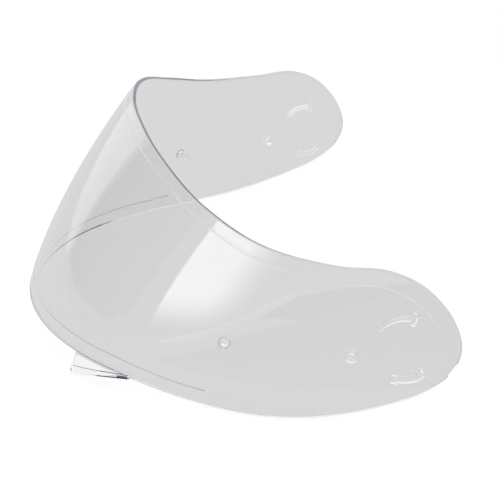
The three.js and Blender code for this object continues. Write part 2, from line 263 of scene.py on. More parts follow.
def outline_curve():
    """The closed outline as closely spaced points of reach and level, with the length up to each. It
    is a centripetal Catmull-Rom curve."""
    half = [(r * EAR_REACH, BROW_HEIGHT + (s - 1) * WALL_RISE) for r, s in OUTLINE_SHARES]
    points = np.array(half + [(-x, y) for x, y in reversed(half[1:-1])])
    count = len(points)
    found = []
    for i in range(count):
        p0, p1, p2, p3 = (points[(i + k) % count] for k in (-1, 0, 1, 2))
        t0, t1, t2 = (math.sqrt(np.linalg.norm(b - a)) for a, b in ((p0, p1), (p1, p2), (p2, p3)))
        leave = ((p1 - p0) / t0 - (p2 - p0) / (t0 + t1) + (p2 - p1) / t1) * t1
        arrive = ((p2 - p1) / t1 - (p3 - p1) / (t1 + t2) + (p3 - p2) / t2) * t1
        t = np.linspace(0, 1, CURVE_STEPS, endpoint=False)[:, None]
        square = -3 * p1 + 3 * p2 - 2 * leave - arrive
        cube = 2 * p1 - 2 * p2 + leave + arrive
        found.append(p1 + leave * t + square * t**2 + cube * t**3)
    curve = np.concatenate(found + [points[:1]])
    lengths = np.concatenate([[0], np.cumsum(np.linalg.norm(np.diff(curve, axis=0), axis=1))])
    return curve, lengths


CURVE, CURVE_LENGTHS = outline_curve()
TIP_LENGTH = CURVE_LENGTHS[np.argmax(CURVE[:, 0])]
HALF_LENGTH = CURVE_LENGTHS[-1] / 2


def outline_at(length):
    return np.stack([np.interp(length, CURVE_LENGTHS, CURVE[:, k]) for k in (0, 1)], -1)


def lower_edge(reach):
    """The level of the lower edge at a reach on the rider's left."""
    lengths = np.linspace(HALF_LENGTH, TIP_LENGTH, CURVE_STEPS * len(OUTLINE_SHARES))
    edge = outline_at(lengths)
    return np.interp(reach, edge[:, 0], edge[:, 1])


PIVOT_LEVEL = lower_edge(PIVOT_REACH) + PIVOT_RISE
BOSS_LEVEL = PIVOT_LEVEL - BOSS_BELOW
PIN_LEVEL = lower_edge(PIN_REACH) + PIN_RISE


def rest_pose():
    """The turn about X and the shift that lay the visor on the table, from where the left pin is."""
    joint = next(j for j in frame["joints"] if j["name"] == "left_pin_turn")
    point, normal = datum_wall(PIN_REACH, PIN_LEVEL)
    turn = math.atan2(joint["axis"][2], joint["axis"][1]) - math.atan2(normal[2], normal[1])
    matrix = np.array(Matrix.Rotation(turn, 3, "X"))
    return matrix, np.array(joint["pos_m"]) - matrix @ point


REST_TURN, REST_SHIFT = rest_pose()


def wall_point(reach, level, depth=0.0):
    return datum_wall(reach, level, depth)[0] @ REST_TURN.T + REST_SHIFT


def wall_frame(reach, level):
    """The placement of a feature on the rider's left: x towards the ear, y up the wall, z outward."""
    point, normal = datum_wall(reach, level)
    point = REST_TURN @ point + REST_SHIFT
    normal = Vector(REST_TURN @ normal)
    angle = float(plan_angle(reach))
    along = Vector(REST_TURN @ np.array((math.cos(angle), math.sin(angle), 0)))
    up = normal.cross(along).normalized()
    forward = up.cross(normal).normalized()
    basis = Matrix((forward, up, normal)).transposed().to_4x4()
    return Matrix.Translation(Vector(point)) @ basis


# Mesh tools
def add_object(name, data):
    made = bpy.data.objects.new(name, data)
    bpy.context.scene.collection.objects.link(made)
    return made


def make_object(name, points, faces, matrix=None):
    mesh = bpy.data.meshes.new(name)
    mesh.from_pydata([tuple(p) for p in points], [], faces)
    if matrix is not None:
        mesh.transform(matrix)
    face_out(mesh)
    return add_object(name, mesh)


def face_out(mesh):
    """Turns the faces of a closed mesh outward."""
    work = bmesh.new()
    work.from_mesh(mesh)
    bmesh.ops.recalc_face_normals(work, faces=work.faces)
    if work.calc_volume(signed=True) < 0:
        bmesh.ops.reverse_faces(work, faces=work.faces)
    work.to_mesh(mesh)
    work.free()


def mirrored(source, name):
    """A copy on the rider's other side."""
    mesh = source.data.copy()
    mesh.transform(Matrix.Scale(-1, 4, (1, 0, 0)))
    face_out(mesh)
    return add_object(name, mesh)


def combine(base, tools, operation):
    """Joins closed tools to base, or cuts them from it, and removes them."""
    for tool in tools:
        step = base.modifiers.new(tool.name, "BOOLEAN")
        step.operation = operation
        step.solver = "MANIFOLD"
        step.object = tool
    bpy.context.view_layer.update()
    graph = bpy.context.evaluated_depsgraph_get()
    mesh = bpy.data.meshes.new_from_object(base.evaluated_get(graph))
    base.modifiers.clear()
    base.data = mesh
    for tool in tools:
        bpy.data.objects.remove(tool)
    return base


def shade(piece):
    piece.data.shade_smooth()
    piece.data.set_sharp_from_angle(angle=math.radians(SHADE_SHARP_DEG))
    return piece


def lathe(name, profile, matrix, shift=0.0):
    """A closed solid of revolution about z, or about a line that is shifted along x. The profile is
    (radius, z) pairs from axis to axis, or a closed ring of them if it never reaches the axis."""
    sides = ROUND_SIDES
    on_axis = profile[0][0] == 0
    points, rings = [], []
    for radius, z in profile:
        if radius == 0:
            rings.append([len(points)] * sides)
            points.append((shift, 0, z))
            continue
        rings.append(list(range(len(points), len(points) + sides)))
        angles = [2 * math.pi * k / sides for k in range(sides)]
        points += [(shift + radius * math.cos(a), radius * math.sin(a), z) for a in angles]
    pairs = list(zip(rings, rings[1:])) + ([] if on_axis else [(rings[-1], rings[0])])
    faces = []
    for low, high in pairs:
        for k in range(sides):
            n = (k + 1) % sides
            corners = [low[k], low[n], high[n], high[k]]
            faces.append(list(dict.fromkeys(corners)))
    return make_object(name, points, faces, matrix)


def loft(name, sections, matrix=None):
    """A closed solid through sections of as many points each, with flat ends."""
    count = len(sections[0])
    points = [p for section in sections for p in section]
    faces = []
    for i in range(len(sections) - 1):
        for k in range(count):
            n = (k + 1) % count
            faces.append([i * count + k, i * count + n, (i + 1) * count + n, (i + 1) * count + k])
    faces.append(list(range(count)))
    faces.append([(len(sections) - 1) * count + k for k in range(count)])
    return make_object(name, points, faces, matrix)


def bevelled(piece, width):
    """Rounds the piece's sharp edges."""
    work = bmesh.new()
    work.from_mesh(piece.data)
    least = math.radians(BEVEL_SHARP_DEG)
    sharp = [e for e in work.edges if len(e.link_faces) == 2 and e.calc_face_angle() > least]
    bmesh.ops.bevel(
        work, geom=sharp, offset=width, segments=BEVEL_STEPS, profile=BEVEL_PROFILE, affect="EDGES"
    )
    work.to_mesh(piece.data)
    work.free()
    return piece


# The shell's wall: rings round the outline, and a ladder of rows between the innermost ring's halves
def ring_outline():
    """The outline's points from the middle of the brow round the rider's left ear and back round the
    right one, the direction into the wall at each, and which of them belong to the brow."""
    brow = outline_at(np.linspace(0, TIP_LENGTH, COLUMNS + 1))
    lower = outline_at(np.linspace(HALF_LENGTH, TIP_LENGTH, COLUMNS + 1))
    left = np.concatenate([brow, lower[-2::-1]])
    right = left[1:-1][::-1] * (-1, 1)
    ring = np.concatenate([left, right])
    heading = np.roll(ring, -1, 0) - np.roll(ring, 1, 0)
    heading /= np.linalg.norm(heading, axis=1, keepdims=True)
    inward = np.stack([heading[:, 1], -heading[:, 0]], -1)
    at_brow = np.zeros(len(ring), bool)
    at_brow[: COLUMNS + 1] = True
    at_brow[3 * COLUMNS :] = True
    return ring, inward, at_brow


def rim_widths(ring, at_brow):
    """The rebate's width, its depth and the width of its step, at each point of the outline."""
    reach = np.abs(ring[:, 0])
    brow_width = lerp(BROW_BAND, EAR_BAND, smoothstep(reach, FRONT_ARC, PIVOT_REACH))
    lower_width = lerp(LOWER_BAND, EAR_BAND, smoothstep(reach, *LOWER_BAND_BLEND))
    brow_depth = 1 - smoothstep(reach, *BROW_STEP_FADE)
    lower_depth = 1 - smoothstep(reach, *LOWER_STEP_FADE)
    width = np.where(at_brow, brow_width, lower_width)
    depth = np.where(at_brow, brow_depth * BROW_STEP_DEPTH, lower_depth * LOWER_STEP_DEPTH)
    step = np.where(at_brow, BROW_STEP_WIDTH, LOWER_STEP_WIDTH)
    return width, depth, step


def edge_painted_shade_slots(ring, at_brow):
    """The edge's painted shade at each point of the outline, from deep at the front to faint at the ears."""
    reach = np.abs(ring[:, 0])
    pale = np.where(at_brow, smoothstep(reach, *BROW_EDGE_SHADE_FADE), smoothstep(reach, *LOWER_EDGE_SHADE_FADE))
    return FIRST_EDGE_SHADE_SLOT + np.rint(pale * (EDGE_SHADE_LEVELS - 1)).astype(int)


def step_slots(rebate, at_brow):
    """The rebate step's material where there is a step: a painted highlight at the brow, painted shade at
    the lower edge.
    """
    found = np.where(at_brow, BROW_STEP_HIGHLIGHT_SLOT, LOWER_STEP_SHADE_SLOT)
    full = np.where(at_brow, BROW_STEP_DEPTH, LOWER_STEP_DEPTH)
    return np.where(rebate > full * LEAST_STEP_SHARE, found, BODY_SLOT)


def rim_slots(ring, at_brow, rebate, row_count, middle_row):
    """The material of each face round the rim, in rows from the outer face round to the inner one."""
    slots = np.full((row_count, len(ring)), BODY_SLOT)
    slope_from = len(FIELD_SHARES)
    slots[slope_from : slope_from + SLOPE_ROWS] = step_slots(rebate, at_brow)
    edge_from = middle_row - 1 - EDGE_STEPS
    edge = slots[edge_from : edge_from + 2 + 2 * EDGE_STEPS]
    # Painted shade: every face of the edge gets the faintest level, and its shade rows the level for their
    # place
    edge[:] = FAINTEST_EDGE_SHADE_SLOT
    shades = edge_painted_shade_slots(ring, at_brow)
    edge[BROW_EDGE_SHADE_ROWS, at_brow] = shades[at_brow]
    edge[LOWER_EDGE_SHADE_ROWS, ~at_brow] = shades[~at_brow]
    return slots


def ring_index(column, brow):
    """Where in a ring a column starts, at the brow, or ends. Columns count from the middle to the
    rider's left."""
    if column >= 0:
        return column if brow else 2 * COLUMNS - column
    return 4 * COLUMNS + column if brow else 2 * COLUMNS - column


def fill_ring(points, faces, edge, place, depth):
    """Fills a ring with a ladder of columns across the wall, each with rows from brow to bottom."""
    ladder = []
    shares = np.arange(1, ROWS)[:, None] / ROWS
    for column in range(1 - COLUMNS, COLUMNS):
        top, bottom = ring_index(column, True), ring_index(column, False)
        between = place[top] + (place[bottom] - place[top]) * shares
        first = len(points)
        points.extend(wall_point(between[:, 0], between[:, 1], depth))
        ladder.append([edge[top], *range(first, first + ROWS - 1), edge[bottom]])
    for here, there in zip(ladder, ladder[1:]):
        for row in range(ROWS):
            faces.append([here[row], here[row + 1], there[row + 1], there[row]])
    for end, tip in ((ladder[-1], edge[COLUMNS]), (ladder[0], edge[3 * COLUMNS])):
        for row in range(ROWS):
            faces.append([end[row], end[row + 1], tip])


def shell_wall():
    ring, inward, at_brow = ring_outline()
    width, rebate, step = rim_widths(ring, at_brow)
    count = len(ring)
    points, outer_rings, inner_rings = [], [], []

    def add_ring(distance, depth):
        """Adds a ring at a distance from the outline, and gives its points' numbers and places."""
        place = ring + inward * np.broadcast_to(distance, count)[:, None]
        first = len(points)
        points.extend(wall_point(place[:, 0], place[:, 1], depth))
        return list(range(first, first + count)), place

    turns = [math.pi / 2 * k / EDGE_STEPS for k in range(EDGE_STEPS + 1)]
    for turn in turns:
        distance = EDGE_RADIUS * (1 - math.cos(turn))
        drop = EDGE_RADIUS * (1 - math.sin(turn))
        outer_rings.append(add_ring(distance, rebate + drop)[0])
        inner_rings.append(add_ring(distance, WALL - drop)[0])
    slopes = [k / SLOPE_ROWS for k in range(SLOPE_ROWS + 1)]
    steps = [(EDGE_RADIUS + FLAT_GUARD, rebate)]
    steps += [(width * k / BAND_PARTS, rebate) for k in range(1, BAND_PARTS)]
    steps += [(width - FLAT_GUARD, rebate)]
    steps += [(width + step * s, rebate * (1 - smoothstep(s, 0, 1))) for s in slopes]
    steps += [(lerp(width + step, RIM_WIDTH, s), rebate * 0) for s in FIELD_SHARES]
    for distance, depth in steps:
        outer_rings.append(add_ring(distance, depth)[0])
        found, place = add_ring(distance, WALL)
        inner_rings.append(found)
    middle = add_ring(0, (rebate + WALL) / 2)[0]
    rings = outer_rings[::-1] + [middle] + inner_rings
    faces = []
    for low, high in zip(rings, rings[1:]):
        for k in range(count):
            n = (k + 1) % count
            faces.append([low[k], low[n], high[n], high[k]])
    fill_ring(points, faces, outer_rings[-1], place, 0)
    fill_ring(points, faces, inner_rings[-1], place, WALL)
    wall = make_object("moulded_shell", points, faces)
    slots = rim_slots(ring, at_brow, rebate, len(rings) - 1, len(outer_rings))
    for face, slot in zip(wall.data.polygons, slots.ravel().tolist()):
        face.material_index = slot
    return wall


# The ears' fittings, in the placement of their centre. The wall curves away from the tangent plane
# there, and the hooks' feet follow it.
def inner_face_z(x, y):
    """The height of the ear's inner face beside the centre, where the outer face is at 0."""
    return -WALL - x * x / (2 * SIDE_RADIUS) - y * y / (2 * SIDE_BOW_RADIUS)


def hook_section():
    """(radius from the centre, height above the ear's inner face) pairs of a hook's section."""
    outer = HOOK_RADIUS + HOOK_THICKNESS / 2
    inner = HOOK_RADIUS - HOOK_THICKNESS / 2
    lip = inner - HOOK_LIP
    top = HOOK_HEIGHT
    under = HOOK_HEIGHT - HOOK_LIP_THICKNESS
    foot, corner = FOOT_RADIUS, CORNER_RADIUS
    section = [(outer + foot, -WALL / 2)]
    section += arc_points((outer + foot, foot), foot, 270, 180, CORNER_STEPS)
    section += arc_points((outer - corner, top - corner), corner, 0, 90, CORNER_STEPS)
    section += arc_points((lip + corner, top - corner), corner, 90, 180, CORNER_STEPS)
    section += arc_points((lip + corner, under + corner), corner, 180, 270, CORNER_STEPS)
    section += arc_points((inner - corner, under - corner), corner, 90, 0, CORNER_STEPS)
    section += arc_points((inner - foot, foot), foot, 0, -90, CORNER_STEPS)
    section.append((inner - foot, -WALL / 2))
    return section


def hook(name, from_deg, to_deg, matrix):
    sections = []
    for k in range(HOOK_STATIONS + 1):
        angle = math.radians(lerp(from_deg, to_deg, k / HOOK_STATIONS))
        ahead, up = math.cos(angle), math.sin(angle)
        section = []
        for radius, height in hook_section():
            x, y = radius * ahead, radius * up
            foot = 1 - smoothstep(height, FOOT_RADIUS, HOOK_HEIGHT / 2)
            section.append((x, y, lerp(-WALL, inner_face_z(x, y), foot) - height))
        sections.append(section)
    return loft(name, sections, matrix)


def hook_block(name, block, matrix):
    """A tapered block across the end of a hook."""
    corners = [
        (block["inner"], -block["inner_width"] / 2),
        (block["outer"], -block["outer_width"] / 2),
        (block["outer"], block["outer_width"] / 2),
        (block["inner"], block["inner_width"] / 2),
    ]
    turn = Matrix.Rotation(math.radians(block["angle_deg"]), 4, "Z")
    levels = (-WALL / 2, -WALL - HOOK_HEIGHT)
    sections = [[(x, y, z) for x, y in corners] for z in levels]
    return bevelled(loft(name, sections, matrix @ turn), CORNER_RADIUS)


def boss(name, matrix):
    radius, bore = BOSS_DIAMETER / 2, BOSS_BORE / 2
    top = -WALL - BOSS_HEIGHT
    foot, corner = FOOT_RADIUS, CORNER_RADIUS
    profile = [(0, -WALL / 2), (radius + foot, -WALL / 2)]
    profile += arc_points((radius + foot, -WALL - foot), foot, 90, 180, CORNER_STEPS)
    profile += arc_points((radius - corner, top + corner), corner, 0, -90, CORNER_STEPS)
    profile += arc_points((bore + corner, top + corner), corner, -90, -180, CORNER_STEPS)
    profile += [(bore, top + BOSS_BORE_DEPTH), (0, top + BOSS_BORE_DEPTH)]
    return lathe(name, profile, matrix)


def paint(piece, slot):
    for face in piece.data.polygons:
        face.material_index = slot
    return piece


def ear_fittings():
    at_pivot = wall_frame(PIVOT_REACH, PIVOT_LEVEL)
    parts = [hook(f"hook_{k}", *span, at_pivot) for k, span in enumerate(HOOK_SPANS_DEG)]
    parts += [hook_block(f"block_{k}", block, at_pivot) for k, block in enumerate(HOOK_BLOCKS)]
    parts.append(boss("boss", wall_frame(BOSS_REACH, BOSS_LEVEL)))
    return [paint(part, FITTING_SLOT) for part in parts]


def tab_section(share):
    """The lift tab's section at a share of its length from the front end, with rounded corners. Its
    bottom rises round the front end."""
    reach = lerp(TAB_FRONT, TAB_BACK, share)
    edge = lower_edge(reach)
    corner = max(TAB_CORNER_RADIUS - share * (TAB_BACK - TAB_FRONT), 0)
    lift = TAB_CORNER_RADIUS - math.sqrt(TAB_CORNER_RADIUS**2 - corner**2)
    full = lerp(TAB_DROP, TAB_END_DROP, share)
    bottom = full - lift
    top = full - lerp(TAB_BAR_HEIGHT, TAB_BAR_END_HEIGHT, share)
    inner, web = WALL * TAB_INNER_SHARE, WALL * TAB_WEB_SHARE
    r = min(TAB_ROUNDING, (bottom - top) / TAB_BAR_ROUNDINGS)
    section = [(inner, -TAB_ROOT)]
    section += arc_points((inner - r, bottom - r), r, 0, 90, CORNER_STEPS)
    section += arc_points((-TAB_LIP + r, bottom - r), r, 90, 180, CORNER_STEPS)
    section += arc_points((-TAB_LIP + r, top + r), r, 180, 270, CORNER_STEPS)
    section += arc_points((web - r, top - r), r, 90, 0, CORNER_STEPS)
    section.append((web, -TAB_ROOT))
    return [tuple(wall_point(reach, edge - below, depth)) for depth, below in section]


def tab_side_is_painted_dark(side, share):
    """Whether a strip along the tab has its painted shade. The strips count from the web's
    inner side round the bar, whose underside and top are painted dark. Its lower corners are painted dark
    but for the front, and its outer face at the end."""
    underside = CORNER_STEPS + 1
    outer_face, top = 2 * underside, 3 * underside
    if side in (underside, top):
        return True
    if side == outer_face:
        return share > TAB_SHADED_FACE_FROM
    return 0 < side < outer_face and share >= TAB_SHADED_CORNERS_FROM


def lift_tab():
    shares = [(k / TAB_STATIONS) ** TAB_STATION_POWER for k in range(TAB_STATIONS + 1)]
    sections = [tab_section(share) for share in shares]
    side_count = len(sections[0])
    tab = loft("lift_tab", sections)
    for face in tab.data.polygons[: TAB_STATIONS * side_count]:
        station, side = divmod(face.index, side_count)
        if tab_side_is_painted_dark(side, shares[station]):
            face.material_index = TAB_SHADE_SLOT
    return tab


def pin_hole(matrix):
    radius = STEM_DIAMETER / 2 + STEM_CLEARANCE
    low, high = -WALL - OVERRUN, OVERRUN
    hole = lathe("pin_hole", [(0, low), (radius, low), (radius, high), (0, high)], matrix)
    return paint(hole, FITTING_SLOT)


def shell(materials):
    fittings = ear_fittings()
    fittings += [mirrored(part, part.name + "_right") for part in fittings]
    hole = pin_hole(wall_frame(PIN_REACH, PIN_LEVEL))
    wall = shell_wall()
    for material in materials:
        wall.data.materials.append(material)
    piece = combine(wall, [*fittings, lift_tab()], "UNION")
    piece = combine(piece, [hole, mirrored(hole, "pin_hole_right")], "DIFFERENCE")
    return shade(piece)


# The pins, in the pin's placement: z is outward and 0 is the wall's outer face
def disc_profile(diameter, low, high, edge):
    radius = diameter / 2
    profile = [(0, low)] + arc_points((radius - edge, low + edge), edge, -90, 0, CORNER_STEPS)
    return profile + arc_points((radius - edge, high - edge), edge, 0, 90, CORNER_STEPS) + [(0, high)]


def pin_body(name, matrix):
    flange_face = -WALL - SEAT_GAP
    groove_from = flange_face - FLANGE_THICKNESS
    groove_to = groove_from - GROOVE_WIDTH
    stem_end = SEAT_GAP + SEAL_THICKNESS
    e = PIN_EDGE
    body = lathe(name, disc_profile(STEM_DIAMETER, groove_from + e, stem_end, e), matrix)
    head = disc_profile(HEAD_DIAMETER, groove_to - HEAD_THICKNESS, groove_to, e)
    neck = disc_profile(NECK_DIAMETER, groove_to - HEAD_THICKNESS / 2, groove_from + FLANGE_THICKNESS / 2, e)
    others = [
        lathe("flange", disc_profile(FLANGE_DIAMETER, groove_from, flange_face, e), matrix),
        lathe("neck", neck, matrix, PIN_OFFSET),
        lathe("head", head, matrix, PIN_OFFSET),
    ]
    return shade(combine(body, others, "UNION"))


def pin_seal(name, matrix):
    bore = STEM_DIAMETER / 2 + STEM_CLEARANCE
    r = SEAL_THICKNESS / 2
    middle = SEAT_GAP + r
    ring = arc_points((SEAL_DIAMETER / 2 - r, middle), r, -90, 90, 2 * CORNER_STEPS)
    ring += arc_points((bore + r, middle), r, 90, 270, 2 * CORNER_STEPS)
    return shade(lathe(name, ring, matrix))


def pin_cap(name, matrix):
    low = SEAT_GAP + SEAL_THICKNESS + SEAT_GAP
    high = low + CAP_THICKNESS
    radius = CAP_DIAMETER / 2
    profile = [(0, low)] + arc_points((radius - PIN_EDGE, low + PIN_EDGE), PIN_EDGE, -90, 0, CORNER_STEPS)
    profile += arc_points((radius - CAP_EDGE, high - CAP_EDGE), CAP_EDGE, 0, 90, CORNER_STEPS) + [(0, high)]
    cap = lathe(name, profile, matrix)
    half, side = radius + OVERRUN, SLOT_WIDTH / 2
    corners = [(-half, -side), (half, -side), (half, side), (-half, side)]
    levels = (high - SLOT_DEPTH, high + OVERRUN)
    slot = loft("slot", [[(x, y, z) for x, y in corners] for z in levels], matrix)
    return shade(combine(cap, [slot], "DIFFERENCE"))


# Materials. A grain is the scale of the faces' waviness, the least roughness, how much more there is
# in places, and the bump's strength. The edge goes from deep to faint painted shade in levels.
POLYCARBONATE_IOR = 1.586
PIN_IOR = 1.08
SILICONE_IOR = 1.12
MOST_REFLECTIONS = 1.5
LAMP_TINT = (0.95, 0.96, 0.97)
BODY_COLOUR = (0.941, 0.94, 0.938)
# Painted shade on the rim: the edge's colour runs from a dark navy at the front to a faint grey-blue at the
# ears
DEEPEST_EDGE_SHADE_COLOUR = (0.03, 0.06, 0.15)
FAINTEST_EDGE_SHADE_COLOUR = (0.78, 0.81, 0.86)
# Painted highlight: the brow step is left white, untinted beside the body, so that its line reads pale
BROW_STEP_HIGHLIGHT_COLOUR = (1, 1, 1)
# Painted shade: the lower step is grey and half opaque, so that its line reads dark
LOWER_STEP_SHADE_COLOUR = (0.5, 0.51, 0.53)
# Painted shade: the tab's underside, top and rear corners are a dark navy and nearly opaque
TAB_SHADE_COLOUR = (0.05, 0.07, 0.13)
FITTING_COLOUR = (0.98, 0.98, 0.98)
PIN_COLOUR = (0.99, 0.99, 0.99)
SILICONE_COLOUR = (0.8, 0.82, 0.83)
DEEPEST_EDGE_SHADE_TRANSMISSION = 0.15
LOWER_STEP_SHADE_TRANSMISSION = 0.5
TAB_SHADE_TRANSMISSION = 0.15
SILICONE_TRANSMISSION = 0.7
BODY_GRAIN = {"scale": 60, "roughness": 0.004, "spread": 0.006, "bump": 0.01}
EDGE_GRAIN = {"scale": 400, "roughness": 0.12, "spread": 0.1, "bump": 0.05}
STEP_GRAIN = {"scale": 900, "roughness": 0.1, "spread": 0.1, "bump": 0.05}
LOWER_STEP_GRAIN = {"scale": 900, "roughness": 0.3, "spread": 0.1, "bump": 0.05}
FITTING_GRAIN = {"scale": 900, "roughness": 0.05, "spread": 0.05, "bump": 0.02}
PIN_GRAIN = {"scale": 900, "roughness": 0.02, "spread": 0.02, "bump": 0.02}
SILICONE_GRAIN = {"scale": 2500, "roughness": 0.35, "spread": 0.15, "bump": 0.2}
GRAIN_DETAIL = 3
GRAIN_DEPTH = 0.0001


def new_material(name):
    made = bpy.data.materials.new(name)
    made.use_nodes = True
    made.node_tree.nodes.clear()
    return made, made.node_tree.nodes, made.node_tree.links


def larger(nodes, links, first, second):
    most = nodes.new("ShaderNodeMath")
    most.operation = "MAXIMUM"
    links.new(first, most.inputs[0])
    links.new(second, most.inputs[1])
    return most.outputs["Value"]


def show_mix(nodes, links, share, first, second, kind="ShaderNodeOutputMaterial"):
    """Sends a mix of two shaders to the output, where the share is the second's."""
    output = nodes.new(kind)
    mix = nodes.new("ShaderNodeMixShader")
    links.new(share, mix.inputs["Fac"])
    links.new(first, mix.inputs[1])
    links.new(second, mix.inputs[2])
    links.new(mix.outputs["Shader"], output.inputs["Surface"])


def surface_grain(nodes, links, shader, grain):
    """Fine waviness of a moulded face: a little uneven gloss, and a shallow bump."""
    place = nodes.new("ShaderNodeTexCoord")
    noise = nodes.new("ShaderNodeTexNoise")
    noise.inputs["Scale"].default_value = grain["scale"]
    noise.inputs["Detail"].default_value = GRAIN_DETAIL
    links.new(place.outputs["Object"], noise.inputs["Vector"])
    gloss = nodes.new("ShaderNodeMapRange")
    gloss.inputs["To Min"].default_value = grain["roughness"]
    gloss.inputs["To Max"].default_value = grain["roughness"] + grain["spread"]
    links.new(noise.outputs["Fac"], gloss.inputs["Value"])
    links.new(gloss.outputs["Result"], shader.inputs["Roughness"])
    relief = nodes.new("ShaderNodeBump")
    relief.inputs["Strength"].default_value = grain["bump"]
    relief.inputs["Distance"].default_value = GRAIN_DEPTH
    links.new(noise.outputs["Fac"], relief.inputs["Height"])
    links.new(relief.outputs["Normal"], shader.inputs["Normal"])


def clear_shader(nodes, links, colour, grain, transmission, ior):
    shader = nodes.new("ShaderNodeBsdfPrincipled")
    shader.inputs["Base Color"].default_value = (*colour, 1)
    shader.inputs["Transmission Weight"].default_value = transmission
    shader.inputs["IOR"].default_value = ior
    surface_grain(nodes, links, shader, grain)
    return shader


def clear_plastic(name, colour, grain, transmission=1.0, ior=POLYCARBONATE_IOR):
    """Clear moulded plastic, which loses a little light at its faces. Lamps shine through it, and
    light that has been reflected in it more than once passes straight on, or it would be lost."""
    made, nodes, links = new_material(name)
    plastic = clear_shader(nodes, links, colour, grain, transmission, ior)
    through = nodes.new("ShaderNodeBsdfTransparent")
    through.inputs["Color"].default_value = (*LAMP_TINT, 1)
    path = nodes.new("ShaderNodeLightPath")
    trapped = nodes.new("ShaderNodeMath")
    trapped.operation = "GREATER_THAN"
    trapped.inputs[1].default_value = MOST_REFLECTIONS
    links.new(path.outputs["Glossy Depth"], trapped.inputs[0])
    passes = larger(nodes, links, path.outputs["Is Shadow Ray"], trapped.outputs["Value"])
    show_mix(nodes, links, passes, plastic.outputs["BSDF"], through.outputs["BSDF"])
    return made


def soft_silicone(name):
    made, nodes, links = new_material(name)
    output = nodes.new("ShaderNodeOutputMaterial")
    shader = clear_shader(
        nodes, links, SILICONE_COLOUR, SILICONE_GRAIN, SILICONE_TRANSMISSION, SILICONE_IOR
    )
    links.new(shader.outputs["BSDF"], output.inputs["Surface"])
    return made


def edge_painted_shade(k):
    """The edge's material at one level of painted shade, from deep at 0 to faint."""
    pale = k / (EDGE_SHADE_LEVELS - 1)
    colour = [lerp(deep, light, pale) for deep, light in zip(DEEPEST_EDGE_SHADE_COLOUR, FAINTEST_EDGE_SHADE_COLOUR)]
    transmission = lerp(DEEPEST_EDGE_SHADE_TRANSMISSION, 1, pale)
    return clear_plastic(f"moulded_edge_{k}", colour, EDGE_GRAIN, transmission)


def shell_materials():
    """The shell's materials, in the order of its slots."""
    return [
        clear_plastic("polycarbonate", BODY_COLOUR, BODY_GRAIN),
        *(edge_painted_shade(k) for k in range(EDGE_SHADE_LEVELS)),
        # painted highlight on the brow step
        clear_plastic("brow_step_painted_highlight", BROW_STEP_HIGHLIGHT_COLOUR, STEP_GRAIN),
        # painted shade on the lower step
        clear_plastic("lower_step_painted_shade", LOWER_STEP_SHADE_COLOUR, LOWER_STEP_GRAIN, LOWER_STEP_SHADE_TRANSMISSION),
        # painted shade on the tab's edge
        clear_plastic("tab_painted_shade", TAB_SHADE_COLOUR, STEP_GRAIN, TAB_SHADE_TRANSMISSION),
        clear_plastic("fittings", FITTING_COLOUR, FITTING_GRAIN),
    ]


def give(piece, material):
    piece.data.materials.clear()
    piece.data.materials.append(material)


# The stage. A ground shows a steady glow and a share of the light on it, and the grey sheet, seen only
# off and through the plastic, makes that grey. A card's glow is full at low x and high y, and fades
# over shares of its width from low x and of its height from low y.
WORLD_LEVEL = 0.55
FLOOR = {"size": 4, "height": -0.0002, "glow": 0.8, "lit_share": 0.3, "albedo": 0.8}
GREY_SHEET = {"size": 3.6, "height": -0.0001, "glow": 0.64, "lit_share": 0.12, "albedo": 0.8}
LEFT_CHEEK = (0.088, -0.01, 0.05)
FRONT_LEFT = (0.055, -0.04, 0.05)
FRONT = (0.02, -0.05, 0.06)
PAPER_PLACE = (0.0583, -0.0589, 0.0002)
WINDOW_GLOW = {"full": 2.9, "faded": 0.7, "x_fade": (0.42, 0.95), "y_fade": (0, 0.2)}
PANEL_GLOW = {"full": 0.58, "faded": 0.36, "x_fade": (2, 3), "y_fade": (0.35, 0.75)}
FLOOR_GLOW = {"full": 1.5, "faded": 0.7, "x_fade": (2, 3), "y_fade": (0, 1)}
NEAR_GLOW = {"full": 0.2, "faded": 0.45, "x_fade": (0.3, 1), "y_fade": (0, 0.05)}
CARD_ROUNDING = 0.01
CARD_CORNER_STEPS = 12
FLOOR_CARD_HEIGHT = 0.0003


def plain_glow(level):
    return {"full": level, "faded": level, "x_fade": (0, 1), "y_fade": (0, 1)}


def seen_share(nodes, links):
    """1 for rays from the camera and through or off something, which see the white background."""
    path = nodes.new("ShaderNodeLightPath")
    total = path.outputs["Is Camera Ray"]
    for name in ("Is Glossy Ray", "Is Transmission Ray"):
        total = larger(nodes, links, total, path.outputs[name])
    return total


def white_world(level):
    """A world that lights the object at a level and is seen as white."""
    world = bpy.data.worlds.new("studio")
    bpy.context.scene.world = world
    world.use_nodes = True
    nodes, links = world.node_tree.nodes, world.node_tree.links
    nodes.clear()
    light, seen = nodes.new("ShaderNodeBackground"), nodes.new("ShaderNodeBackground")
    for background, strength in ((light, level), (seen, 1)):
        background.inputs["Strength"].default_value = strength
        background.inputs["Color"].default_value = (1, 1, 1, 1)
    outputs = (light.outputs["Background"], seen.outputs["Background"])
    show_mix(nodes, links, seen_share(nodes, links), *outputs, kind="ShaderNodeOutputWorld")


